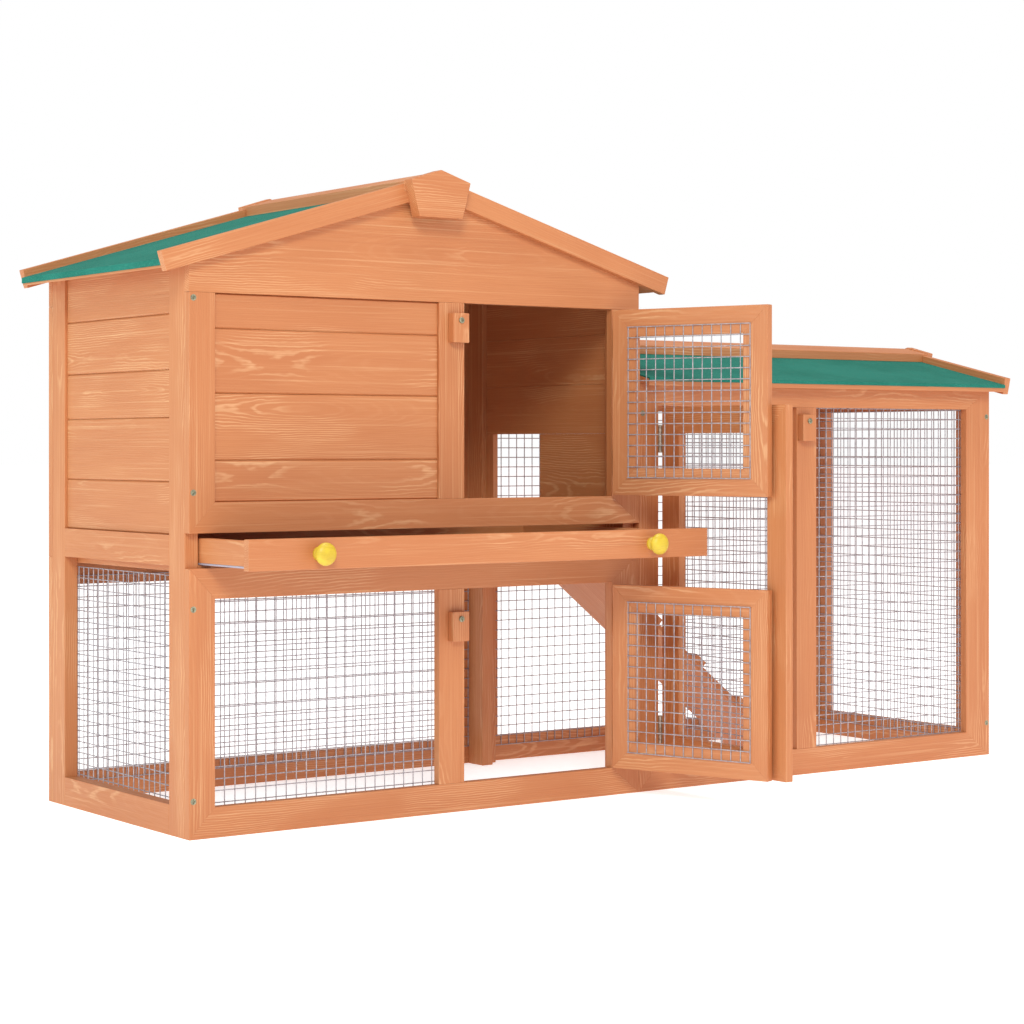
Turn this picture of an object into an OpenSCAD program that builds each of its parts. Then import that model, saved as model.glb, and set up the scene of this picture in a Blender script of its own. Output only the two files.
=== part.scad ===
// Two-storey wooden rabbit hutch with a single-height mesh run beside it.
// X runs from the house to the run, Y from the front to the back, Z up from the ground.

/* [House] */
// width of the house, over its outer faces
house_w = 703; // [600:1:800]
// length of the whole body, house and run together
body_len = 1404; // [1200:1:1600]
// depth of the body, over the front and back panels
depth = 403; // [350:1:480]
// height of the walls under the roof at the middle of the gable
house_ridge_under = 813.5; // [760:0.5:860]
// pitch of the house roof in degrees
house_pitch = 16.5; // [12:0.5:25]

/* [Run] */
// height of the run walls under the roof at the front face
run_eave_under = 571.5; // [520:0.5:620]
// pitch of the run roof in degrees
run_pitch = 12.8; // [8:0.2:20]
// bottom edge of the run top rails
run_open_top = 539; // [480:1:580]

/* [Panels] */
// thickness of the front, back and door panels
panel_t = 12; // [9:1:18]
// thickness of the side wall frames
side_t = 19; // [15:1:25]
// depth of a side wall post, measured along Y
post_d = 41; // [30:1:50]
// depth of a rear side wall post
rear_post_d = 38; // [30:1:50]
// height of a frame rail
rail_h = 38; // [30:1:50]
// width of the outer left stile of a panel
stile_w = 36; // [30:1:50]
// width of the middle stiles
mid_stile_w = 40; // [30:1:50]
// left edge of the house middle stile
mid_stile_x = 368; // [330:1:400]
// width of the stile that carries the house door hinges
hinge_stile_w = 48; // [40:1:60]
// bottom edge of the top rail of the lower storey
lower_open_top = 294; // [260:1:320]
// gap between the lower and the upper panels, where the drawer slides
drawer_slot_h = 43; // [36:1:50]
// top edge of the window and door openings of the upper storey
upper_open_top = 671; // [620:1:700]

/* [Boards] */
// thickness of a wall board
board_t = 8; // [6:0.5:12]
// how far a wall board sits behind the face of its frame
board_recess = 4; // [2:0.5:6]
// chamfer along the long edges of a wall board
board_chamfer = 1.8; // [0.5:0.1:2.5]

/* [Wire mesh] */
// centre distance of the mesh wires
mesh_pitch = 14.7; // [10:0.1:25]
// diameter of a mesh wire
wire_d = 1.4; // [1:0.1:2]
// how far a mesh laps over its frame
mesh_lap = 18; // [8:1:25]

/* [Doors] */
// gap around a closed door
door_gap = 2; // [1:0.5:4]
// width of the rails and stiles of a door
door_member = 37; // [28:1:45]
// how far the house doors stand open, in degrees
house_door_open = 109; // [0:1:110]
// how far the run door stands open, in degrees
run_door_open = 90; // [0:1:90]
// left edge of the run door opening
run_door_x = 738; // [720:1:760]
// right edge of the run door opening
run_door_end = 999; // [960:1:1040]
// right edge of the run middle stile
run_mid_end = 1038; // [1000:1:1080]
// left edge of the right stile of the run
run_right_stile_x = 1353; // [1330:1:1370]

/* [Hinges] */
// length of a butt hinge
hinge_len = 38; // [25:1:50]
// distance from a door end to the middle of its hinge
hinge_inset = 45; // [30:1:80]
// radius of a hinge knuckle
knuckle_r = 2.4; // [2:0.1:3]
// radius of a hinge pin
pin_r = 1.2; // [1:0.1:1.5]
// thickness of a hinge leaf
leaf_t = 0.8; // [0.6:0.1:1]
// width of a face leaf, from the hinge axis
leaf_w = 17; // [12:1:25]
// how far the axis of a house hinge stands over the jamb
hinge_set = 3.5; // [2:0.5:6]

/* [Turn buttons] */
// width of a wooden turn button
button_w = 25; // [18:1:32]
// length of a turn button
button_h = 39; // [30:1:50]
// thickness of a turn button
button_t = 12; // [8:1:16]
// distance from the pivot screw to the near end of a turn button
button_pivot = 9.5; // [7:0.5:14]

/* [Drawer] */
// how far the drawer is pulled out
drawer_out = 147; // [0:1:147]
// height of the drawer front board
drawer_front_h = 37.5; // [30:0.5:42]
// height of the drawer sides
drawer_side_h = 30.5; // [20:0.5:36]
// thickness of the drawer boards
drawer_board_t = 12; // [9:1:15]
// thickness of the drawer tray
tray_t = 2.4; // [1:0.1:4]
// distance of each knob from its end of the drawer
knob_inset = 96; // [60:1:140]
// diameter of a knob
knob_d = 28; // [20:1:35]

/* [Roofs] */
// thickness of a roof board
roof_t = 9; // [6:0.5:15]
// thickness of the roof felt
felt_t = 2; // [1:0.1:3]
// how far the house roof reaches past the side walls
house_overhang = 38; // [20:1:60]
// how far the run roof reaches past the front and back faces
run_overhang = 22; // [10:1:40]
// how far the run roof reaches past the end wall
run_end_overhang = 11; // [0:1:30]
// height of a barge board, square to its slope
barge_h = 25.5; // [20:0.5:40]
// how far a barge board stands above the felt
barge_rise = 10.5; // [4:0.5:15]
// how far a front barge board reaches past the edge of the roof
barge_end = 6; // [0:1:10]
// width of a ridge cap board on plan
cap_w = 46; // [30:1:60]
// thickness of a ridge cap board
cap_t = 13; // [8:0.5:18]
// width of a keystone block at its shoulders
keystone_w = 92; // [70:1:110]
// width of a keystone block at its foot
keystone_foot_w = 67; // [50:1:90]
// height of a keystone block at its middle
keystone_h = 62; // [40:1:80]
// thickness of the front keystone block
keystone_t = 18; // [12:1:24]

/* [Ramp] */
// width of the ramp
ramp_w = 142; // [90:1:160]
// front edge of the ramp
ramp_y = 193; // [150:1:220]
// pitch of the ramp in degrees
ramp_pitch = 38.8; // [30:0.2:45]
// thickness of the ramp board
ramp_t = 9; // [6:0.5:15]
// number of treads across the ramp
tread_count = 4; // [2:1:4]
// distance of the first tread from the head of the ramp
tread_first = 117; // [40:1:130]
// distance between treads along the slope
tread_pitch = 110; // [60:1:120]
// thickness of a ramp tread
tread_t = 9; // [5:0.5:12]
// width of a ramp tread along the slope
tread_w = 23; // [8:1:30]

/* [Pop-hole] */
// front edge of the opening between the upper storey and the ramp
pop_y = 217; // [150:1:240]
// width of the opening
pop_w = 118; // [90:1:140]
// height of the opening
pop_h = 128; // [100:1:160]

/* [Screws] */
// radius of a screw head
screw_head_r = 4; // [3:0.1:5]
// radius of a screw shank
shank_r = 1.6; // [1:0.1:2.5]
// length of a frame screw
screw_len = 35; // [20:1:50]
// distance of a frame screw from the outer edge of its stile
screw_edge = 6; // [5:0.5:12]

/* [Hidden] */
$fn = 48;
wire_fn = 16;
air = 0.3;
seam = 0.1;
ridge_gap = seam / 2;
bed = 0.05;
running = 0.05;
mid_x = house_w / 2;
mid_y = depth / 2;
back_y = depth - panel_t;
rear_post_y = back_y - rear_post_d;
window_front_y = panel_t + post_d;
hinge_stile_x = house_w - hinge_stile_w;
door_x = mid_stile_x + mid_stile_w;
lower_top = lower_open_top + rail_h;
upper_base = lower_top + drawer_slot_h;
upper_open_base = upper_base + rail_h;
house_slope = tan(house_pitch);
run_slope = tan(run_pitch);
run_ridge_under = run_eave_under + run_slope * mid_y;
side_rail_top = 372;
side_rail_base = side_rail_top - rail_h;
run_head_h = run_eave_under - run_open_top;

// levels of the joints between wall boards
side_joints = [438, 518, 577.5, 647];
inner_joints = [570, 640];
front_joints = [464.5, 547.5, 627.5];
back_joints = [438, 518, 600];

// hinge axes: just in front of the panel face, over the jamb beside a house door and
// over the gap beside the run door
knuckle_air = 0.2;
knuckle_play = 0.15;
leaf_inset = 1;
pin_cap = 1;
hinge_y = -(knuckle_r + knuckle_air);
house_hinge_x = hinge_stile_x + hinge_set;
run_hinge_x = run_door_x + door_gap / 2;
house_door_w = hinge_stile_x - door_x - 2 * door_gap;
run_door_w = run_door_end - run_door_x - 2 * door_gap;
upper_door_z = upper_open_base + door_gap;
upper_door_h = upper_open_top - upper_open_base - 2 * door_gap;
lower_door_z = rail_h + door_gap;
lower_door_h = lower_open_top - rail_h - 2 * door_gap;
run_door_h = run_open_top - rail_h - 2 * door_gap;

// drawer levels: the tray slides on the runners with a little air under it
runner_h = 10;
runner_w = 18;
runner_lift = 3.5;
drawer_clear = 1.5;
runner_top = lower_top + runner_lift;
tray_z = runner_top + air;
drawer_side_z = tray_z + tray_t;
drawer_x = side_t + drawer_clear;
drawer_w = house_w - 2 * drawer_x;
drawer_len = back_y - panel_t - 2 * drawer_clear;
drawer_front_z = lower_top + (drawer_slot_h - drawer_front_h) / 2;
drawer_y = panel_t - air - drawer_out;
knob_z = drawer_front_z + drawer_front_h / 2;
knob_reach = 24;
knob_dome = 8;
knob_thread = 11;

// turn button pivots
upper_button = [door_x - 13, upper_open_top - 23.5];
lower_button = [door_x - 13, lower_open_top - 39];
run_button = [run_door_end + 14.5, run_open_top - 20];
button_back_y = -air;
button_bore_r = 2;
button_screw_in = 8;
pan_head = 2;
countersink = 2.6;

// roof levels at the ridge
house_board_v = roof_t / cos(house_pitch);
house_felt_v = felt_t / cos(house_pitch);
run_board_v = roof_t / cos(run_pitch);
run_felt_v = felt_t / cos(run_pitch);
house_felt_top = house_ridge_under + house_board_v + house_felt_v;
run_felt_top = run_ridge_under + run_board_v + run_felt_v;
run_roof_x = house_w + 0.5;
run_roof_end = body_len + run_end_overhang;
run_roof_half = mid_y + run_overhang;
felt_over = 1.5;
felt_lip_house = 6;
felt_lip_run = 3;
keystone_rise = 2;

// the part stands in the middle of its own outline, with its doors and drawer as drawn
out_x_min = -house_overhang - barge_end;
out_x_max = run_roof_end + 2 * panel_t;
out_y_min = hinge_y - (run_door_end - door_gap - run_hinge_x);
out_y_max = depth + 2 * panel_t;
centre = [(out_x_min + out_x_max) / 2, (out_y_min + out_y_max) / 2, 0];

wood = "#DE9A64";
wood_side = "#E2A67C";
wood_deep = "#C46A45";
felt_green = "#28876F";
steel = "#C9C6CC";
zinc = "#B9B3A2";
knob_yellow = "#DCC23C";
tray_grey = "#D9D4D0";

// heights under the two roofs
function house_under(x) = house_ridge_under - house_slope * abs(x - mid_x);
function run_under(y) = run_ridge_under - run_slope * abs(y - mid_y);

// moves the whole part to the middle of its outline
module placed()
    translate(-centre)
        children();

// a plain member between two corners
module bar(from, to)
    translate(from)
        cube(to - from);

// a profile drawn in X and Z, pushed back along Y
module across_y(y0, y1)
    translate([0, y1, 0])
        rotate([90, 0, 0])
            linear_extrude(y1 - y0)
                children();

// a profile drawn in Y and Z, pushed along X
module across_x(x0, x1)
    translate([x0, 0, 0])
        rotate([90, 0, 90])
            linear_extrude(x1 - x0)
                children();

// a round pin or hole along Y, starting at a point
module pin_y(point, r, len)
    translate(point)
        rotate([-90, 0, 0])
            cylinder(r = r, h = len);

// a wall board along X with its face towards -Y and two chamfered edges
module board(len, h)
    rotate([90, 0, 90])
        linear_extrude(len)
            polygon([[board_chamfer, 0], [board_t, 0], [board_t, h], [board_chamfer, h],
                [0, h - board_chamfer], [0, board_chamfer]]);

// a stack of boards between the given levels
module boards(len, levels)
    for (i = [0 : len(levels) - 2])
        translate([0, 0, levels[i]])
            board(len, levels[i + 1] - levels[i] - seam);

// welded mesh in the XZ plane: upright wires in front, level wires behind them
module mesh(x0, x1, z0, z1) {
    cols = floor((x1 - x0 - wire_d) / mesh_pitch);
    rows = floor((z1 - z0 - wire_d) / mesh_pitch);
    wide = cols * mesh_pitch;
    high = rows * mesh_pitch;
    left = (x0 + x1 - wide) / 2;
    foot = (z0 + z1 - high) / 2;
    for (i = [0 : cols])
        translate([left + i * mesh_pitch, wire_d / 2, foot - wire_d / 2])
            cylinder(d = wire_d, h = high + wire_d, $fn = wire_fn);
    for (i = [0 : rows])
        translate([left - wire_d / 2, wire_d * 1.5, foot + i * mesh_pitch])
            rotate([0, 90, 0])
                cylinder(d = wire_d, h = wide + wire_d, $fn = wire_fn);
}

// one member of a panel frame, from its corners in X and Z
module member(corners)
    across_y(0, panel_t)
        polygon(corners);

// a panel frame with mitred corners, from its outline and the widths of its members
module mitred_frame(x0, x1, z0, z1, left, right, foot, head) {
    in0 = x0 + left;
    in1 = x1 - right;
    low = z0 + foot;
    high = z1 - head;
    member([[x0, z0], [in0, low], [in0, high], [x0, z1]]);
    member([[x1, z0], [x1, z1], [in1, high], [in1, low]]);
    member([[x0 + seam, z0], [x1 - seam, z0], [in1 - seam, low], [in0 + seam, low]]);
    member([[x0 + seam, z1], [in0 + seam, high], [in1 - seam, high], [x1 - seam, z1]]);
}

// turns a closed door about its hinge axis
module swing(x, angle)
    translate([x, hinge_y, 0])
        rotate([0, 0, angle])
            translate([-x, -hinge_y, 0])
                children();

// one leaf of a hinge let in beside a door, with knuckles in the given slots out of three
module leaf(x, side, slots) {
    third = hinge_len / 3;
    x0 = side > 0 ? x : x - leaf_t;
    difference() {
        union() {
            bar([x0, air, -hinge_len / 2], [x0 + leaf_t, panel_t - leaf_inset, hinge_len / 2]);
            for (s = slots) {
                translate([x - side * knuckle_air, hinge_y, (s - 1.5) * third + knuckle_play])
                    cylinder(r = knuckle_r, h = third - 2 * knuckle_play);
                bar([x0, hinge_y, (s - 1.5) * third + knuckle_play],
                    [x0 + leaf_t, air + seam, (s - 0.5) * third - knuckle_play]);
            }
        }
        translate([x - side * knuckle_air, hinge_y, -hinge_len])
            cylinder(r = pin_r + running, h = 2 * hinge_len);
    }
}

// one leaf of a hinge that lies on the front faces, about its own axis
module face_leaf(side, slots) {
    third = hinge_len / 3;
    root = knuckle_r + air;
    back = -hinge_y - bed;
    difference() {
        union() {
            span_x(side, root, leaf_w, back - leaf_t, back, -hinge_len / 2, hinge_len / 2);
            for (s = slots) {
                foot = (s - 1.5) * third + knuckle_play;
                translate([0, 0, foot])
                    cylinder(r = knuckle_r, h = third - 2 * knuckle_play);
                span_x(side, 0, root, back - leaf_t, back, foot,
                    foot + third - 2 * knuckle_play);
            }
        }
        translate([0, 0, -hinge_len])
            cylinder(r = pin_r + running, h = 2 * hinge_len);
    }
}

// a plain block that reaches from x0 to x1 on one side of the YZ plane
module span_x(side, x0, x1, y0, y1, z0, z1)
    bar([side > 0 ? x0 : -x1, y0, z0], [side > 0 ? x1 : -x0, y1, z1]);

// the two leaf positions of a door, from its bottom and its height
function hinge_levels(z, h) = [z + hinge_inset, z + h - hinge_inset];

// screw places on the front: X, then Z
house_screw_levels = [47, 282, 425, 664];
run_screw_levels = [50, 528];
house_screws = [for (x = [screw_edge, house_w - screw_edge]) for (z = house_screw_levels) [x, z]];
run_screws = [[house_w + screw_edge + 1, 528],
    for (z = run_screw_levels) [body_len - screw_edge, z]];
screw_places = concat(house_screws, run_screws);
button_places = [upper_button, lower_button, run_button];

// countersunk screw holes through the front panels
module front_screw_holes()
    for (p = screw_places) {
        pin_y([p[0], -1, p[1]], shank_r + running, screw_len + 2);
        translate([p[0], 0, p[1]])
            rotate([-90, 0, 0])
                cylinder(r1 = screw_head_r + running, r2 = shank_r + running, h = countersink);
    }

// pilot holes for the turn button screws
module button_holes()
    for (p = button_places)
        pin_y([p[0], -1, p[1]], shank_r + running, button_screw_in + 2);

// ---- house walls ----

module house_posts() {
    inner = side_t - mid_x;
    color(wood_side) placed()
        difference() {
            for (span = [[panel_t, window_front_y], [rear_post_y, back_y]])
                house_pair()
                    across_y(span[0], span[1])
                        polygon([[mid_x, 0], [-inner, 0], [-inner, house_under(side_t)],
                            [mid_x, house_under(0)]]);
            front_screw_holes();
        }
}

module left_wall_rails()
    color(wood_side) placed() {
        bar([0, window_front_y, 0], [side_t, rear_post_y, rail_h]);
        bar([0, window_front_y, side_rail_base], [side_t, rear_post_y, side_rail_top]);
    }

module left_wall_boards() {
    levels = concat(side_rail_top, side_joints);
    top_joint = levels[len(levels) - 1];
    color(wood_side) placed()
        translate([board_recess, rear_post_y, 0])
            rotate([0, 0, -90]) {
                boards(rear_post_y - window_front_y, levels);
                translate([0, 0, top_joint])
                    board(rear_post_y - window_front_y, house_under(board_recess) - top_joint);
            }
}

module left_wall_mesh()
    color(steel) placed()
        translate([side_t, 0, 0])
            rotate([0, 0, 90])
                mirror([0, 1, 0])
                    mesh(window_front_y - mesh_lap, rear_post_y + mesh_lap, rail_h - mesh_lap,
                        runner_top - runner_h);

module right_wall_rail()
    color(wood_deep) placed()
        bar([house_w - side_t, window_front_y, side_rail_base],
            [house_w, rear_post_y, side_rail_top]);

module right_wall_boards() {
    levels = concat(side_rail_top + pop_h, inner_joints);
    top_joint = levels[len(levels) - 1];
    color(wood_deep) placed()
        translate([house_w - board_recess, 0, 0])
            rotate([0, 0, 90]) {
                translate([window_front_y, 0, side_rail_top])
                    board(pop_y - window_front_y, pop_h - seam);
                translate([window_front_y, 0, 0]) {
                    boards(rear_post_y - window_front_y, levels);
                    translate([0, 0, top_joint])
                        board(rear_post_y - window_front_y,
                            house_under(board_recess) - top_joint);
                }
                translate([pop_y + pop_w, 0, side_rail_top])
                    board(rear_post_y - pop_y - pop_w, pop_h - seam);
            }
}

// the stiles and the bottom rail of an upper storey panel, mitred into each other
module upper_frame(left, right, base) {
    in1 = house_w - right;
    low = base + rail_h;
    head = upper_open_top - seam;
    member([[0, base], [left, low], [left, head], [0, head]]);
    member([[house_w, base], [house_w, head], [in1, head], [in1, low]]);
    member([[seam, base], [house_w - seam, base], [in1 - seam, low], [left + seam, low]]);
}

module upper_front_frame()
    color(wood) placed()
        difference() {
            union() {
                upper_frame(stile_w, hinge_stile_w, upper_base);
                bar([mid_stile_x, 0, upper_open_base + seam],
                    [door_x, panel_t, upper_open_top - seam]);
            }
            front_screw_holes();
            button_holes();
        }

// the board that closes a house gable, right across above the stiles
module gable()
    member([[0, upper_open_top], [house_w, upper_open_top], [house_w, house_under(house_w)],
        [mid_x, house_ridge_under], [0, house_under(0)]]);

module front_gable()
    color(wood) placed()
        gable();

module upper_front_boards()
    color(wood) placed()
        translate([stile_w, board_recess, 0])
            boards(mid_stile_x - stile_w, concat(upper_open_base, front_joints, upper_open_top));

module lower_front_frame()
    color(wood) placed()
        difference() {
            union() {
                mitred_frame(0, house_w, 0, lower_top, stile_w, hinge_stile_w, rail_h, rail_h);
                bar([mid_stile_x, 0, rail_h + seam], [door_x, panel_t, lower_open_top - seam]);
            }
            front_screw_holes();
            button_holes();
        }

module lower_front_mesh()
    color(steel) placed()
        translate([0, panel_t, 0])
            mesh(side_t + 1, mid_stile_x + mesh_lap, rail_h - mesh_lap, lower_open_top + mesh_lap);

module upper_back_frame()
    color(wood_deep) placed()
        translate([0, back_y, 0])
            upper_frame(stile_w, stile_w, lower_top);

module back_gable()
    color(wood_deep) placed()
        translate([0, back_y, 0])
            gable();

module upper_back_boards() {
    len = house_w - 2 * stile_w;
    color(wood_deep) placed()
        translate([house_w - stile_w, depth - board_recess, 0])
            rotate([0, 0, 180])
                boards(len, concat(lower_top + rail_h, back_joints, upper_open_top));
}

module lower_back_frame()
    color(wood_deep) placed()
        translate([0, back_y, 0])
            mitred_frame(0, house_w, 0, lower_top, stile_w, stile_w, rail_h, rail_h);

module lower_back_mesh()
    color(steel) placed()
        translate([0, back_y, 0])
            mirror([0, 1, 0])
                mesh(side_t + 1, house_w - stile_w + mesh_lap, rail_h - mesh_lap,
                    lower_open_top + mesh_lap);

// ---- drawer ----

module drawer_runners()
    color(wood_deep) placed()
        for (x = [side_t, house_w - side_t - runner_w])
            bar([x, panel_t, runner_top - runner_h], [x + runner_w, back_y, runner_top]);

module drawer_front()
    color(wood) placed()
        difference() {
            bar([air, drawer_y - drawer_board_t, drawer_front_z],
                [house_w - air, drawer_y, drawer_front_z + drawer_front_h]);
            for (x = [knob_inset, house_w - knob_inset])
                pin_y([x, drawer_y - drawer_board_t - 1, knob_z], shank_r + running,
                    drawer_board_t + 2);
        }

module drawer_sides()
    color(wood_side) placed()
        for (x = [drawer_x, drawer_x + drawer_w - drawer_board_t])
            bar([x, drawer_y, drawer_side_z],
                [x + drawer_board_t, drawer_y + drawer_len, drawer_side_z + drawer_side_h]);

module drawer_back()
    color(wood_side) placed()
        bar([drawer_x + drawer_board_t, drawer_y + drawer_len - drawer_board_t, drawer_side_z],
            [drawer_x + drawer_w - drawer_board_t, drawer_y + drawer_len,
                drawer_side_z + drawer_side_h]);

module drawer_tray()
    color(tray_grey) placed()
        bar([drawer_x, drawer_y, tray_z], [drawer_x + drawer_w, drawer_y + drawer_len, drawer_side_z]);

// mushroom knob along -Y: neck, flange and domed head
module knob() {
    r = knob_d / 2;
    dome = [for (a = [0 : 15 : 90]) [r * cos(a), knob_reach - knob_dome * (1 - sin(a))]];
    flange = knob_reach - knob_dome - 2;
    difference() {
        rotate([90, 0, 0])
            rotate_extrude()
                polygon(concat([[0, 0], [r * 0.62, 0], [r * 0.62, 3], [r * 0.46, 6],
                    [r * 0.46, flange - 3], [r * 0.96, flange]], dome));
        pin_y([0, -knob_thread - 1, 0], shank_r + running, knob_thread + 2);
    }
}

module drawer_knobs()
    color(knob_yellow) placed()
        for (x = [knob_inset, house_w - knob_inset])
            translate([x, drawer_y - drawer_board_t, knob_z])
                knob();

module drawer_knob_screws()
    color(zinc) placed()
        for (x = [knob_inset, house_w - knob_inset]) {
            pin_y([x, drawer_y, knob_z], screw_head_r, pan_head);
            pin_y([x, drawer_y - drawer_board_t - knob_thread, knob_z], shank_r,
                drawer_board_t + knob_thread);
        }

// ---- house roof ----

// one slope of the house roof as a profile: a band between two offsets above the soffit
module house_band(low, high, reach) {
    edge = mid_x + reach;
    polygon([[ridge_gap, house_ridge_under + low],
        [edge, house_ridge_under - house_slope * edge + low],
        [edge, house_ridge_under - house_slope * edge + high],
        [ridge_gap, house_ridge_under + high]]);
}

// the profile on both sides of the house ridge
module house_pair()
    for (side = [-1, 1])
        translate([mid_x, 0, 0])
            scale([side, 1, 1])
                children();

module house_roof_boards()
    color(wood_deep) placed()
        house_pair()
            across_y(0, depth)
                house_band(0, house_board_v, house_overhang);

module house_roof_felt() {
    edge = mid_x + house_overhang;
    foot = house_ridge_under - house_slope * edge;
    color(felt_green) placed()
        house_pair()
            across_y(0, depth) {
                house_band(house_board_v + bed, house_board_v + house_felt_v,
                    house_overhang + felt_over);
                polygon([[edge, foot + house_board_v - felt_lip_house],
                    [edge + felt_over, foot + house_board_v - felt_lip_house],
                    [edge + felt_over, foot + house_board_v], [edge, foot + house_board_v]]);
            }
}

// barge board profile beside a ridge: notched under the cap, square cut at its foot
module barge_profile(top, slope, pitch, reach, notch) {
    drop = barge_h / cos(pitch);
    foot_x = reach - barge_h * sin(pitch);
    polygon([[ridge_gap, top - drop], [foot_x, top - drop - slope * foot_x],
        [reach, top - slope * reach], [cap_w, top - slope * cap_w],
        [cap_w, notch - slope * cap_w], [ridge_gap, notch]]);
}

module house_barge_boards() {
    top = house_felt_top + barge_rise;
    color(wood) placed()
        house_pair()
            for (row = [[-panel_t, barge_end], [depth, 0]])
                across_y(row[0], row[0] + panel_t)
                    barge_profile(top, house_slope, house_pitch,
                        mid_x + house_overhang + row[1], house_felt_top);
}

// keystone block profile, from the top of the ridge cap
module keystone_profile(top, slope) {
    half = keystone_w / 2;
    foot = keystone_foot_w / 2;
    shoulder = top - slope * half - 1;
    polygon([[0, top], [half, shoulder], [foot, top - keystone_h],
        [-foot, top - keystone_h], [-half, shoulder]]);
}

module house_keystones() {
    top = house_felt_top + cap_t / cos(house_pitch) + keystone_rise;
    color(wood) placed()
        translate([mid_x, 0, 0])
            for (row = [[-panel_t - keystone_t, -panel_t], [depth + panel_t, depth + 2 * panel_t]])
                across_y(row[0], row[1])
                    keystone_profile(top, house_slope);
}

// ridge cap profile on one side of a ridge
module cap_profile(base, slope, pitch) {
    rise = cap_t / cos(pitch);
    polygon([[ridge_gap, base], [cap_w, base - slope * cap_w],
        [cap_w, base - slope * cap_w + rise], [ridge_gap, base + rise]]);
}

module house_ridge_caps()
    color(wood) placed()
        house_pair()
            across_y(-panel_t, depth + panel_t)
                cap_profile(house_felt_top + bed, house_slope, house_pitch);

// ---- run ----

module run_front_frame()
    color(wood) placed()
        difference() {
            union() {
                mitred_frame(house_w, body_len, 0, run_eave_under, run_door_x - house_w,
                    body_len - run_right_stile_x, rail_h, run_head_h);
                bar([run_door_end, 0, rail_h + seam], [run_mid_end, panel_t, run_open_top - seam]);
            }
            front_screw_holes();
            button_holes();
        }

module run_front_mesh()
    color(steel) placed()
        translate([0, panel_t, 0])
            mesh(run_mid_end - mesh_lap, body_len - side_t - 1, rail_h - mesh_lap,
                run_open_top + mesh_lap);

module run_back_frame()
    color(wood_deep) placed()
        translate([0, back_y, 0])
            mitred_frame(house_w, body_len, 0, run_eave_under, stile_w, stile_w, rail_h,
                run_head_h);

module run_back_mesh()
    color(steel) placed()
        translate([0, back_y, 0])
            mirror([0, 1, 0])
                mesh(house_w + side_t + 1, body_len - side_t - 1, rail_h - mesh_lap,
                    run_open_top + mesh_lap);

// two posts at each end of the run; the rear one beside the house is a square batten
module run_posts()
    color(wood_deep) placed()
        difference() {
            for (post = [[house_w, panel_t, window_front_y], [house_w, back_y - side_t, back_y],
                    [body_len - side_t, panel_t, window_front_y],
                    [body_len - side_t, rear_post_y, back_y]])
                across_x(post[0], post[0] + side_t)
                    polygon([[post[1], 0], [post[2], 0], [post[2], run_under(post[2])],
                        [post[1], run_under(post[1])]]);
            front_screw_holes();
        }

module run_end_rail()
    color(wood_deep) placed()
        bar([body_len - side_t, window_front_y, 0], [body_len, rear_post_y, rail_h]);

module run_end_gable()
    color(wood_deep) placed()
        across_x(body_len - side_t, body_len)
            polygon([[window_front_y, run_open_top], [rear_post_y, run_open_top],
                [rear_post_y, run_under(rear_post_y)], [mid_y, run_ridge_under],
                [window_front_y, run_under(window_front_y)]]);

module run_end_mesh()
    color(steel) placed()
        translate([body_len - side_t, 0, 0])
            rotate([0, 0, 90])
                mesh(window_front_y - mesh_lap, rear_post_y + mesh_lap, rail_h - mesh_lap,
                    run_open_top + mesh_lap);

// one slope of the run roof as a profile
module run_band(low, high, reach)
    polygon([[ridge_gap, run_ridge_under + low],
        [reach, run_ridge_under - run_slope * reach + low],
        [reach, run_ridge_under - run_slope * reach + high],
        [ridge_gap, run_ridge_under + high]]);

// the profile on both sides of the run ridge
module run_pair()
    for (side = [-1, 1])
        translate([0, mid_y, 0])
            scale([1, side, 1])
                children();

module run_roof_boards()
    color(wood_deep) placed()
        run_pair()
            across_x(run_roof_x, run_roof_end)
                run_band(0, run_board_v, run_roof_half);

module run_roof_felt() {
    foot = run_ridge_under - run_slope * run_roof_half + run_board_v;
    color(felt_green) placed()
        run_pair()
            across_x(run_roof_x, run_roof_end) {
                run_band(run_board_v + bed, run_board_v + run_felt_v,
                    run_roof_half + felt_over);
                polygon([[run_roof_half, foot - felt_lip_run],
                    [run_roof_half + felt_over, foot - felt_lip_run],
                    [run_roof_half + felt_over, foot], [run_roof_half, foot]]);
            }
}

module run_barge_boards()
    color(wood) placed()
        run_pair()
            across_x(run_roof_end, run_roof_end + panel_t)
                barge_profile(run_felt_top + barge_rise, run_slope, run_pitch,
                    run_roof_half + felt_over, run_felt_top);

module run_keystone()
    color(wood) placed()
        translate([0, mid_y, 0])
            across_x(run_roof_end + panel_t, run_roof_end + 2 * panel_t)
                keystone_profile(run_felt_top + cap_t / cos(run_pitch) + keystone_rise, run_slope);

module run_ridge_caps()
    color(wood_side) placed()
        run_pair()
            across_x(run_roof_x, run_roof_end + panel_t)
                cap_profile(run_felt_top + bed, run_slope, run_pitch);

// ---- ramp ----

// height of the underside of the ramp where it meets the house, a step below the rail
ramp_step = 2;
ramp_head = side_rail_top - ramp_step - ramp_t / cos(ramp_pitch);
ramp_run = ramp_head / tan(ramp_pitch);

module ramp_board()
    color(wood_deep) placed()
        across_y(ramp_y, ramp_y + ramp_w)
            polygon([[house_w, ramp_head], [house_w + ramp_run, 0],
                [house_w + ramp_run + ramp_t / sin(ramp_pitch), 0],
                [house_w, ramp_head + ramp_t / cos(ramp_pitch)]]);

module ramp_treads()
    color(wood_deep) placed()
        translate([house_w, ramp_y, ramp_head + ramp_t / cos(ramp_pitch)])
            rotate([0, ramp_pitch, 0])
                for (i = [0 : tread_count - 1])
                    translate([tread_first + i * tread_pitch, 0, 0])
                        cube([tread_w, ramp_w, tread_t]);

// ---- doors ----

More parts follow.
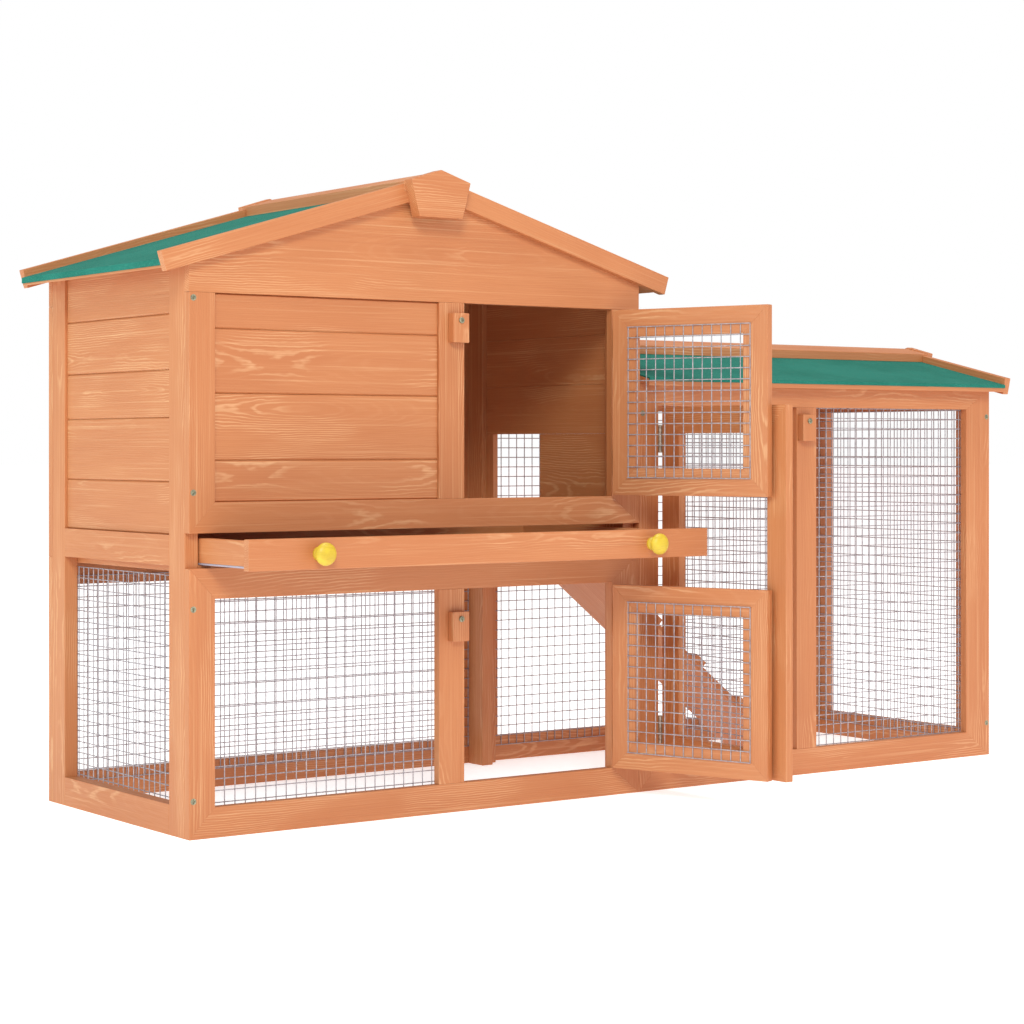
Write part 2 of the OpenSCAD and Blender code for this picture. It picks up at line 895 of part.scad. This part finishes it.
// a door frame with its lower left corner at the origin
module door_frame(w, h)
    mitred_frame(0, w, 0, h, door_member, door_member, door_member, door_member);

// the mesh of a door, fixed on its inner face
module door_mesh(w, h)
    translate([0, panel_t, 0])
        mesh(mesh_lap, w - mesh_lap, mesh_lap, h - mesh_lap);

module upper_door_frame()
    color(wood) placed()
        swing(house_hinge_x, house_door_open)
            translate([door_x + door_gap, 0, upper_door_z])
                door_frame(house_door_w, upper_door_h);

module upper_door_mesh()
    color(steel) placed()
        swing(house_hinge_x, house_door_open)
            translate([door_x + door_gap, 0, upper_door_z])
                door_mesh(house_door_w, upper_door_h);

module lower_door_frame()
    color(wood) placed()
        swing(house_hinge_x, house_door_open)
            translate([door_x + door_gap, 0, lower_door_z])
                door_frame(house_door_w, lower_door_h);

module lower_door_mesh()
    color(steel) placed()
        swing(house_hinge_x, house_door_open)
            translate([door_x + door_gap, 0, lower_door_z])
                door_mesh(house_door_w, lower_door_h);

module run_door_frame()
    color(wood) placed()
        swing(run_hinge_x, -run_door_open)
            translate([run_door_x + door_gap, 0, lower_door_z])
                door_frame(run_door_w, run_door_h);

module run_door_mesh()
    color(steel) placed()
        swing(run_hinge_x, -run_door_open)
            translate([run_door_x + door_gap, 0, lower_door_z])
                door_mesh(run_door_w, run_door_h);

// hinge levels of the doors
upper_hinges = hinge_levels(upper_door_z, upper_door_h);
lower_hinges = hinge_levels(lower_door_z, lower_door_h);
run_hinges = hinge_levels(lower_door_z, run_door_h);
house_hinges = concat(upper_hinges, lower_hinges);

// the moving leaves of one house door
module house_door_leaves(levels)
    color(zinc) placed()
        swing(house_hinge_x, house_door_open)
            for (z = levels)
                translate([house_hinge_x, hinge_y, z])
                    face_leaf(-1, [1]);

module upper_door_hinge_leaves()
    house_door_leaves(upper_hinges);

module lower_door_hinge_leaves()
    house_door_leaves(lower_hinges);

module run_door_hinge_leaves()
    color(zinc) placed()
        swing(run_hinge_x, -run_door_open)
            for (z = run_hinges)
                translate([0, 0, z])
                    leaf(run_hinge_x + knuckle_air, 1, [1]);

module jamb_hinge_leaves()
    color(zinc) placed() {
        for (z = house_hinges)
            translate([house_hinge_x, hinge_y, z])
                face_leaf(1, [0, 2]);
        for (z = run_hinges)
            translate([0, 0, z])
                leaf(run_hinge_x - knuckle_air, -1, [0, 2]);
    }

module hinge_pins()
    color(zinc) placed()
        for (h = concat([for (z = house_hinges) [house_hinge_x, z]],
                [for (z = run_hinges) [run_hinge_x, z]]))
            translate([h[0], hinge_y, h[1] - hinge_len / 2]) {
                cylinder(r = pin_r, h = hinge_len);
                translate([0, 0, hinge_len])
                    cylinder(r = knuckle_r, h = pin_cap);
            }

// ---- turn buttons ----

// a turn button hanging from its pivot
module turn_button(place)
    color(wood) placed()
        difference() {
            bar([place[0] - button_w / 2, button_back_y - button_t,
                    place[1] + button_pivot - button_h],
                [place[0] + button_w / 2, button_back_y, place[1] + button_pivot]);
            pin_y([place[0], button_back_y - button_t - 1, place[1]], button_bore_r,
                button_t + 2);
        }

module upper_turn_button()
    turn_button(upper_button);

module lower_turn_button()
    turn_button(lower_button);

module run_turn_button()
    turn_button(run_button);

module turn_button_screws()
    color(zinc) placed()
        for (p = button_places)
            translate([p[0], 0, p[1]]) {
                pin_y([0, button_back_y - button_t - air - pan_head, 0], screw_head_r, pan_head);
                pin_y([0, button_back_y - button_t - air - seam, 0], button_bore_r - running,
                    button_t + 2 * air + seam);
                pin_y([0, -seam, 0], shank_r, button_screw_in);
            }

// ---- frame screws ----

module frame_screws()
    color(zinc) placed()
        for (p = screw_places)
            translate([p[0], 0, p[1]])
                rotate([-90, 0, 0]) {
                    cylinder(r1 = screw_head_r, r2 = shank_r, h = countersink);
                    cylinder(r = shank_r, h = screw_len);
                }

house_posts();
left_wall_rails();
left_wall_boards();
left_wall_mesh();
right_wall_rail();
right_wall_boards();
upper_front_frame();
front_gable();
upper_front_boards();
lower_front_frame();
lower_front_mesh();
upper_back_frame();
back_gable();
upper_back_boards();
lower_back_frame();
lower_back_mesh();
drawer_runners();
drawer_front();
drawer_sides();
drawer_back();
drawer_tray();
drawer_knobs();
drawer_knob_screws();
house_roof_boards();
house_roof_felt();
house_barge_boards();
house_keystones();
house_ridge_caps();
run_front_frame();
run_front_mesh();
run_back_frame();
run_back_mesh();
run_posts();
run_end_rail();
run_end_gable();
run_end_mesh();
run_roof_boards();
run_roof_felt();
run_barge_boards();
run_keystone();
run_ridge_caps();
ramp_board();
ramp_treads();
upper_door_frame();
upper_door_mesh();
upper_door_hinge_leaves();
lower_door_frame();
lower_door_mesh();
lower_door_hinge_leaves();
run_door_frame();
run_door_mesh();
run_door_hinge_leaves();
jamb_hinge_leaves();
hinge_pins();
upper_turn_button();
lower_turn_button();
run_turn_button();
turn_button_screws();
frame_screws();
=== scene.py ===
"""Looks of a two-storey wooden rabbit hutch with a mesh run: materials, light and camera."""
import math
import random

import bmesh
import bpy
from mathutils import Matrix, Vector


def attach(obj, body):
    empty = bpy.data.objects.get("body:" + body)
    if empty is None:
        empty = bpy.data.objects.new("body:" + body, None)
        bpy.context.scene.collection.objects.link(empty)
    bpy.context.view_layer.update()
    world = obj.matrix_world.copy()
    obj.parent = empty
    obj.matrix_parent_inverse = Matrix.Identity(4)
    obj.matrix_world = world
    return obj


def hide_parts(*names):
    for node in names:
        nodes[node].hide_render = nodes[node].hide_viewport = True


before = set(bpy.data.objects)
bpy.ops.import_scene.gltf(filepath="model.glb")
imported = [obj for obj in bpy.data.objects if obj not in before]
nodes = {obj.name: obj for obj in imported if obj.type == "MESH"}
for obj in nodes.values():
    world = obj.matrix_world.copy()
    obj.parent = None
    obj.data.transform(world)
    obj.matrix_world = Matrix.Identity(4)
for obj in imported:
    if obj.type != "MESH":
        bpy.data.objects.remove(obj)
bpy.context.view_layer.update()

AXES = {"X": Vector((1, 0, 0)), "Y": Vector((0, 1, 0))}
MESH_NODES = [n for n in nodes if n.endswith("_mesh")]
FELT_NODES = ["house_roof_felt", "run_roof_felt"]
HINGE_NODES = ["upper_door_hinge_leaves", "lower_door_hinge_leaves", "run_door_hinge_leaves",
               "jamb_hinge_leaves", "hinge_pins"]
SCREW_NODES = ["drawer_knob_screws", "turn_button_screws", "frame_screws"]
OTHER_NODES = ["drawer_tray", "drawer_knobs"]
PLAIN_NODES = set(MESH_NODES + FELT_NODES + HINGE_NODES + SCREW_NODES + OTHER_NODES)
WOOD_NODES = [n for n in nodes if n not in PLAIN_NODES]
# nodes whose grain doesn't follow their longest edge
GRAIN = {"house_keystones": "X", "run_keystone": "Y", "house_roof_boards": "Y",
         "run_roof_boards": "X", "front_gable": "X", "back_gable": "X", "run_end_gable": "Y"}


# edges shorter than this, in metres, or folded less are left as they are
EASE_SHORTEST = 0.005
EASE_FOLD = math.cos(math.radians(35))
# how far the corners of boards, frames and sheet are eased
EASE_BOARD = 0.0008
EASE_FRAME = 0.0005
EASE_SHEET = 0.0004
# vertices nearer than this are one corner of the same solid
WELD = 0.00001
PER_METRE = round(1 / WELD)

# growth rings to the metre, and how far the pith wanders and the rings sway
RINGS = 380
PITH_WANDER = 0.060
RING_SWAY = 0.013


# ---------------------------------------------------------------- shader helpers

def linear(r, g, b):
    """An sRGB colour, 0 to 255, as linear RGBA."""
    out = []
    for c in (r, g, b):
        c /= 255
        out.append(c / 12.92 if c <= 0.04045 else ((c + 0.055) / 1.055) ** 2.4)
    return (*out, 1)


class Graph:
    """A material and short names for making and joining its shader nodes."""

    def __init__(self, name):
        self.material = bpy.data.materials.new(name)
        self.material.use_nodes = True
        self.tree = self.material.node_tree
        self.shader = self.tree.nodes["Principled BSDF"]

    def plug(self, value, socket):
        if isinstance(value, bpy.types.NodeSocket):
            self.tree.links.new(value, socket)
        else:
            socket.default_value = value

    def add(self, kind, **props):
        made = self.tree.nodes.new(kind)
        for key, value in props.items():
            setattr(made, key, value)
        return made

    def math(self, operation, a, b=0.0, clamp=False):
        made = self.add("ShaderNodeMath", operation=operation, use_clamp=clamp)
        self.plug(a, made.inputs[0])
        self.plug(b, made.inputs[1])
        return made.outputs[0]

    def scaled(self, vector, by, shift=(0, 0, 0)):
        made = self.add("ShaderNodeVectorMath", operation="MULTIPLY_ADD")
        self.plug(vector, made.inputs[0])
        made.inputs[1].default_value = by
        made.inputs[2].default_value = shift
        return made.outputs[0]

    def noise(self, vector, scale, detail=2.0, rough=0.5, warp=0.0):
        made = self.add("ShaderNodeTexNoise")
        self.plug(vector, made.inputs["Vector"])
        made.inputs["Scale"].default_value = scale
        made.inputs["Detail"].default_value = detail
        made.inputs["Roughness"].default_value = rough
        made.inputs["Distortion"].default_value = warp
        return made.outputs["Fac"]

    def span(self, value, low, high, to_low=0.0, to_high=1.0):
        made = self.add("ShaderNodeMapRange", interpolation_type="SMOOTHSTEP")
        self.plug(value, made.inputs[0])
        for i, v in enumerate((low, high, to_low, to_high)):
            made.inputs[i + 1].default_value = v
        return made.outputs[0]

    def mix(self, factor, a, b):
        made = self.add("ShaderNodeMix", data_type="RGBA", blend_type="MIX")
        self.plug(factor, made.inputs[0])
        self.plug(a, made.inputs[6])
        self.plug(b, made.inputs[7])
        return made.outputs[2]

    def attribute(self, name):
        return self.add("ShaderNodeAttribute", attribute_name=name)

    def place(self):
        return self.add("ShaderNodeTexCoord").outputs["Object"]

    def bump(self, height, distance, strength=1.0):
        made = self.add("ShaderNodeBump")
        made.inputs["Distance"].default_value = distance
        made.inputs["Strength"].default_value = strength
        self.plug(height, made.inputs["Height"])
        self.tree.links.new(made.outputs[0], self.shader.inputs["Normal"])

    def finish(self, **sockets):
        for key, value in sockets.items():
            self.plug(value, self.shader.inputs[key.replace("_", " ")])
        return self.material


# ---------------------------------------------------------------- materials

def stained_wood():
    """Brushed fir with an orange stain: pale growth rings drawn from each board's own log."""
    g = Graph("stained_fir")
    grain = g.attribute("grain").outputs["Vector"]
    tone = g.attribute("tone").outputs["Fac"]
    parts = g.add("ShaderNodeSeparateXYZ")
    g.plug(grain, parts.inputs[0])
    u, v, w = parts.outputs

    # growth rings round the pith, which wanders and tapers along the board
    wander = g.noise(g.scaled(grain, (2.0, 0, 0)), 1.0, 1.5, 0.5)
    sway = g.noise(g.scaled(grain, (6, 20, 20)), 1.0, 4.0, 0.6)
    depth = g.math("ADD", w, g.math("MULTIPLY", g.math("SUBTRACT", wander, 0.5), PITH_WANDER))
    radius = g.math("SQRT", g.math("ADD", g.math("POWER", v, 2), g.math("POWER", depth, 2)))
    radius = g.math("ADD", radius, g.math("MULTIPLY", sway, RING_SWAY))
    rings = g.math("FRACT", g.math("MULTIPLY", radius, RINGS))
    line = g.math("MULTIPLY", g.span(rings, 0.34, 0.60), g.span(rings, 0.90, 0.66))

    # the rings show in patches, and fine fibres run over the whole board
    patch = g.span(g.noise(g.scaled(grain, (5.5, 17, 17), (3, 8, 1)), 1.0, 2.0), 0.46, 0.66)
    fibre = g.noise(g.scaled(grain, (16, 900, 900)), 1.0, 3.0, 0.6)
    streak = g.noise(g.scaled(grain, (2.6, 300, 300), (9, 2, 4)), 1.0, 2.0, 0.6)
    cloud = g.noise(g.scaled(grain, (4, 16, 16), (1, 5, 7)), 1.0, 2.0)

    ring_mark = g.math("MULTIPLY", line, g.span(patch, 0, 1, 0.06, 0.55))
    ring_mark = g.math("MULTIPLY", ring_mark, g.span(fibre, 0.36, 0.60, 0.45, 1.0))
    mark = g.math("ADD", ring_mark, g.span(streak, 0.54, 0.78, 0, 0.36), clamp=True)

    base = g.mix(g.span(cloud, 0.3, 0.7), linear(189, 113, 66), linear(195, 120, 72))
    base = g.mix(g.span(streak, 0.24, 0.46, 0.22, 0), base, linear(175, 95, 54))
    base = g.mix(g.span(fibre, 0.30, 0.52, 0.18, 0), base, linear(172, 95, 54))
    base = g.mix(mark, base, linear(226, 171, 124))
    base = g.mix(g.span(tone, 0, 1, 0.10, 0), base, linear(169, 89, 49))

    height = g.math("ADD", g.math("MULTIPLY", line, 0.35), g.math("MULTIPLY", fibre, 0.65))
    g.bump(height, 0.0003, 0.5)
    return g.finish(Base_Color=base, Roughness=g.span(fibre, 0.3, 0.7, 0.60, 0.46),
                    Specular_IOR_Level=0.55)


def felt():
    """Green mineral roofing felt: fine stone granules."""
    g = Graph("roof_felt")
    place = g.place()
    grit = g.add("ShaderNodeTexVoronoi")
    g.plug(place, grit.inputs["Vector"])
    grit.inputs["Scale"].default_value = 850
    fine = g.noise(place, 1400, 2.0, 0.7)
    soft = g.noise(place, 14, 3.0)
    base = g.mix(g.span(soft, 0.3, 0.7), linear(28, 107, 92), linear(36, 117, 102))
    base = g.mix(g.span(grit.outputs["Color"], 0.55, 0.95, 0, 0.30), base, linear(84, 164, 144))
    base = g.mix(g.span(fine, 0.30, 0.48, 0.45, 0), base, linear(14, 80, 66))
    g.bump(g.math("ADD", grit.outputs["Distance"], fine), 0.0006, 0.6)
    return g.finish(Base_Color=base, Roughness=0.93, Specular_IOR_Level=0.2)


def metal(name, light, dark, rough, grime, scale, metallic):
    """Zinc plated steel, spangled and slightly dulled."""
    g = Graph(name)
    place = g.place()
    spangle = g.noise(place, scale, 3.0, 0.6)
    dull = g.noise(place, scale * 0.22, 2.0)
    base = g.mix(g.span(spangle, 0.35, 0.65), dark, light)
    base = g.mix(g.span(dull, 0.5, 0.75, 0, grime), base, linear(120, 112, 100))
    g.bump(spangle, 0.0001, 0.3)
    return g.finish(Base_Color=base, Metallic=metallic,
                    Roughness=g.span(spangle, 0.3, 0.7, rough, rough + 0.14))


def knob_paint():
    """Turned wooden knob under yellow lacquer, with the grain just showing."""
    g = Graph("knob")
    place = g.place()
    stripe = g.noise(g.scaled(place, (90, 90, 900)), 1.0, 3.0, 0.6, 0.4)
    cloud = g.noise(place, 60, 2.0)
    base = g.mix(g.span(cloud, 0.35, 0.65), linear(200, 162, 29), linear(212, 177, 43))
    base = g.mix(g.span(stripe, 0.30, 0.52, 0.35, 0), base, linear(168, 138, 22))
    g.bump(stripe, 0.0002, 0.25)
    return g.finish(Base_Color=base, Roughness=0.46, Coat_Weight=0.12, Coat_Roughness=0.3)


def tray_sheet():
    """Pale powder-coated sheet with a fine orange-peel skin."""
    g = Graph("tray_sheet")
    place = g.place()
    peel = g.noise(place, 900, 2.0)
    wear = g.noise(place, 9, 4.0, 0.6)
    base = g.mix(g.span(wear, 0.35, 0.7), linear(172, 158, 168), linear(152, 138, 150))
    g.bump(peel, 0.00008, 0.4)
    return g.finish(Base_Color=base, Roughness=g.span(wear, 0.3, 0.7, 0.42, 0.55))


WOOD = stained_wood()
FELT = felt()
WIRE = metal("mesh_wire", linear(184, 173, 177), linear(152, 140, 146), 0.38, 0.10, 260, 0.35)
HINGE = metal("hinge_metal", linear(206, 202, 190), linear(170, 164, 150), 0.32, 0.35, 300, 0.85)
SCREW = metal("screw_metal", linear(176, 172, 146), linear(122, 118, 96), 0.36, 0.45, 420, 0.7)
KNOB = knob_paint()
TRAY = tray_sheet()


def wear_material(names, material):
    for name in names:
        slots = nodes[name].data.materials
        if len(slots) == 0:
            slots.append(material)
        for i in range(len(slots)):
            slots[i] = material


wear_material(WOOD_NODES, WOOD)
wear_material(FELT_NODES, FELT)
wear_material(MESH_NODES, WIRE)
wear_material(HINGE_NODES, HINGE)
wear_material(["drawer_knobs"], KNOB)
wear_material(["drawer_tray"], TRAY)


# ---------------------------------------------------------------- grain of each board

def corner(vertex):
    """A key that split vertices at one place share."""
    return tuple(round(c * PER_METRE) for c in vertex.co)


def pieces_of(mesh):
    """The mesh's separate solids: lists of vertex numbers, joined where positions agree."""
    key_of = {}
    parent = []
    merged = []
    for vertex in mesh.vertices:
        key = corner(vertex)
        if key not in key_of:
            key_of[key] = len(parent)
            parent.append(len(parent))
        merged.append(key_of[key])

    def root(i):
        while parent[i] != i:
            parent[i] = parent[parent[i]]
            i = parent[i]
        return i

    for polygon in mesh.polygons:
        first = root(merged[polygon.vertices[0]])
        for vertex in polygon.vertices[1:]:
            parent[root(merged[vertex])] = first
    groups = {}
    for i, m in enumerate(merged):
        groups.setdefault(root(m), []).append(i)
    return list(groups.values())


def folded_edges(mesh):
    """For each edge, whether the surface really folds there, and isn't just cut in triangles."""
    place = [corner(v) for v in mesh.vertices]
    sides = {}
    for polygon in mesh.polygons:
        for a, b in polygon.edge_keys:
            pair = tuple(sorted((place[a], place[b])))
            sides.setdefault(pair, []).append(polygon.normal)
    folded = []
    for edge in mesh.edges:
        faces = sides.get(tuple(sorted(place[i] for i in edge.vertices)), [])
        folded.append(any(m.dot(n) < EASE_FOLD for m in faces for n in faces))
    return folded


def lay_grain(name, node):
    """Stores where each point lies in its own board: along, across and through the grain."""
    mesh = node.data
    chance = random.Random("grain of " + name)
    grain = [0.0] * (3 * len(mesh.vertices))
    tone = [0.0] * len(mesh.vertices)
    groups = pieces_of(mesh)
    owner = {}
    for k, group in enumerate(groups):
        for i in group:
            owner[i] = k
    longest = [(0, AXES["X"])] * len(groups)
    normals = [[] for _ in groups]
    for edge, folded in zip(mesh.edges, folded_edges(mesh)):
        a, b = (mesh.vertices[i].co for i in edge.vertices)
        k = owner[edge.vertices[0]]
        if folded and (b - a).length > longest[k][0]:
            longest[k] = ((b - a).length, (b - a).normalized())
    for polygon in mesh.polygons:
        normals[owner[polygon.vertices[0]]].append((polygon.normal.copy(), polygon.area))
    for k, group in enumerate(groups):
        along = AXES[GRAIN[name]] if name in GRAIN else longest[k][1]
        best = None
        for normal, _ in normals[k]:
            if abs(normal.dot(along)) < 0.2:
                area = sum(a for n, a in normals[k] if abs(n.dot(normal)) > 0.98)
                if best is None or area > best[0]:
                    best = (area, normal)
        through = (best[1] - best[1].dot(along) * along).normalized()
        across = through.cross(along)
        middle = sum((mesh.vertices[i].co for i in group), Vector()) / len(group)
        shift = Vector((chance.uniform(0, 40), chance.uniform(-0.03, 0.03),
                        chance.uniform(0.002, 0.04)))
        shade = chance.uniform(0, 1)
        for i in group:
            away = mesh.vertices[i].co - middle
            grain[3 * i:3 * i + 3] = (away.dot(along) + shift.x, away.dot(across) + shift.y,
                                      away.dot(through) + shift.z)
            tone[i] = shade
    mesh.attributes.new("grain", "FLOAT_VECTOR", "POINT").data.foreach_set("vector", grain)
    mesh.attributes.new("tone", "FLOAT", "POINT").data.foreach_set("value", tone)


for name in WOOD_NODES:
    lay_grain(name, nodes[name])


# ---------------------------------------------------------------- eased edges

def weigh_edges(mesh):
    """Marks the straight outer edges for easing, and leaves the rims of small holes sharp."""
    weights = []
    for edge, folded in zip(mesh.edges, folded_edges(mesh)):
        a, b = (mesh.vertices[i].co for i in edge.vertices)
        weights.append(1.0 if folded and (b - a).length > EASE_SHORTEST else 0.0)
    mesh.attributes.new("bevel_weight_edge", "FLOAT", "EDGE").data.foreach_set("value", weights)


def ease(names, width):
    for name in names:
        weigh_edges(nodes[name].data)
        weld = nodes[name].modifiers.new("weld", "WELD")
        weld.merge_threshold = WELD
        bevel = nodes[name].modifiers.new("ease", "BEVEL")
        bevel.width = width
        bevel.segments = 2
        bevel.limit_method = "WEIGHT"


FRAMES = [n for n in WOOD_NODES if n.endswith("_frame")]
ease([n for n in WOOD_NODES if n not in FRAMES], EASE_BOARD)
ease(FRAMES, EASE_FRAME)
ease(["drawer_tray"], EASE_SHEET)


# ---------------------------------------------------------------- cross-head screws

HEAD_RINGS = 14
HEAD_SPOKES = 48
HEAD_R = 0.004
# the cross recess, as shares of the head's radius
CROSS_ARM = 0.62
CROSS_HALF = 0.16
CROSS_DEPTH = 0.30


def add_screw(bm, place, facing, head_r, shank_r, length, dome, depth):
    """A screw along Y: a dished or domed head with a cross recess, its cone or rim, and shank."""
    def ring(radius, y, recess=False):
        row = []
        for k in range(HEAD_SPOKES):
            turn = 2 * math.pi * k / HEAD_SPOKES
            x, z = radius * math.cos(turn), radius * math.sin(turn)
            sink = 0.0
            if recess:
                narrow = min(abs(x), abs(z)) / head_r
                far = max(abs(x), abs(z)) / head_r
                if far < CROSS_ARM and narrow < CROSS_HALF:
                    sink = CROSS_DEPTH * head_r * (1 - 0.5 * far / CROSS_ARM)
            row.append(bm.verts.new(place + Vector((x, -facing * (y - sink), z))))
        return row

    rows = []
    for i in range(1, HEAD_RINGS + 1):
        share = i / HEAD_RINGS
        rows.append(ring(share * head_r, dome * math.sqrt(max(0.0, 1 - share ** 2)), True))
    rows.append(ring(head_r if dome else shank_r, -depth))
    rows.append(ring(shank_r, -depth))
    rows.append(ring(shank_r, -length))
    tip = bm.verts.new(place + Vector((0, facing * (length + shank_r), 0)))
    crown = bm.verts.new(place - Vector((0, facing * (dome - CROSS_DEPTH * head_r), 0)))
    for low, high in zip(rows, rows[1:]):
        for k in range(HEAD_SPOKES):
            n = (k + 1) % HEAD_SPOKES
            bm.faces.new((low[k], low[n], high[n], high[k]))
    for k in range(HEAD_SPOKES):
        n = (k + 1) % HEAD_SPOKES
        bm.faces.new((crown, rows[0][n], rows[0][k]))
        bm.faces.new((tip, rows[-1][k], rows[-1][n]))


def make_screws(name, node, body, facing, head_r, shank_r, dome, depth):
    """Screws with cross recesses in the places of a CAD node's plain ones."""
    mesh = nodes[node].data
    bm = bmesh.new()
    for group in pieces_of(mesh):
        points = [mesh.vertices[i].co for i in group]
        low = Vector([min(c[i] for c in points) for i in range(3)])
        high = Vector([max(c[i] for c in points) for i in range(3)])
        if high.x - low.x < 1.5 * head_r:
            continue
        front = low.y if facing > 0 else high.y
        seat = front + facing * dome
        middle = Vector(((low.x + high.x) / 2, seat, (low.z + high.z) / 2))
        add_screw(bm, middle, facing, head_r, shank_r, high.y - low.y - dome - shank_r, dome,
                  depth)
    bmesh.ops.remove_doubles(bm, verts=bm.verts, dist=0.000001)
    bmesh.ops.recalc_face_normals(bm, faces=bm.faces)
    made = bpy.data.objects.new(name, bpy.data.meshes.new(name))
    bm.to_mesh(made.data)
    bm.free()
    made.data.materials.append(SCREW)
    bpy.context.scene.collection.objects.link(made)
    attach(made, body)
    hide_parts(node)


make_screws("panel_screws", "frame_screws", "hutch", 1, HEAD_R, 0.0016, 0.0, 0.0026)
make_screws("button_screws", "turn_button_screws", "hutch", 1, HEAD_R, 0.00195, 0.0008, 0.0012)
make_screws("knob_screws", "drawer_knob_screws", "drawer", -1, HEAD_R, 0.0016, 0.0008, 0.0012)


# ---------------------------------------------------------------- stage, light, camera

def floor():
    mesh = bpy.data.meshes.new("floor")
    bm = bmesh.new()
    bmesh.ops.create_circle(bm, cap_ends=True, radius=60, segments=64)
    bm.to_mesh(mesh)
    bm.free()
    made = bpy.data.objects.new("floor", mesh)
    bpy.context.scene.collection.objects.link(made)
    g = Graph("floor")
    shade = g.noise(g.place(), 0.6, 2.0)
    mesh.materials.append(g.finish(
        Base_Color=g.mix(shade, (0.90, 0.90, 0.90, 1), (0.93, 0.93, 0.93, 1)),
        Roughness=0.9, Specular_IOR_Level=0.1, Emission_Color=(1, 1, 1, 1),
        Emission_Strength=0.58))


def area_light(name, place, target, size, power, tint=(1, 1, 1)):
    data = bpy.data.lights.new(name, "AREA")
    data.shape = "DISK"
    data.size = size
    data.energy = power
    data.color = tint
    made = bpy.data.objects.new(name, data)
    made.location = place
    made.rotation_euler = (Vector(target) - Vector(place)).to_track_quat("-Z", "Y").to_euler()
    bpy.context.scene.collection.objects.link(made)


floor()
area_light("key", (-3.4, -4.7, 3.7), (0, 0, 0.4), 2.0, 236, (0.81, 1, 0.97))
area_light("side", (-5.2, 0.6, 1.6), (0, 0, 0.4), 2.6, 88, (0.58, 0.97, 1))
area_light("fill", (3.4, -4.6, 2.0), (0.2, 0, 0.4), 3.0, 24, (0.84, 1, 1))
area_light("top", (0.3, -0.6, 4.6), (0.2, 0, 0.4), 2.4, 90, (0.96, 1, 1))

world = bpy.data.worlds.new("studio")
world.use_nodes = True
light_tree = world.node_tree
backdrop = light_tree.nodes["Background"]
sky = light_tree.nodes.new("ShaderNodeBackground")
sky.inputs["Color"].default_value = (1, 0.89, 0.88, 1)
sky.inputs["Strength"].default_value = 0.56
backdrop.inputs["Color"].default_value = (1, 1, 1, 1)
backdrop.inputs["Strength"].default_value = 1.0
seen = light_tree.nodes.new("ShaderNodeMixShader")
light_tree.links.new(light_tree.nodes.new("ShaderNodeLightPath").outputs["Is Camera Ray"],
                     seen.inputs[0])
light_tree.links.new(sky.outputs[0], seen.inputs[1])
light_tree.links.new(backdrop.outputs[0], seen.inputs[2])
light_tree.links.new(seen.outputs[0], light_tree.nodes["World Output"].inputs[0])
bpy.context.scene.world = world
bpy.context.scene.view_settings.view_transform = "Standard"

camera_data = bpy.data.cameras.new("camera")
camera_data.lens = 83.9
camera_data.sensor_width = 36
camera_data.shift_y = -0.0638
camera_data.clip_end = 200
camera = bpy.data.objects.new("camera", camera_data)
camera.location = (-2.0760, -2.6819, 0.4814)
camera.rotation_euler = (math.radians(90), 0, math.radians(-35.65))
bpy.context.scene.collection.objects.link(camera)
bpy.context.scene.camera = camera
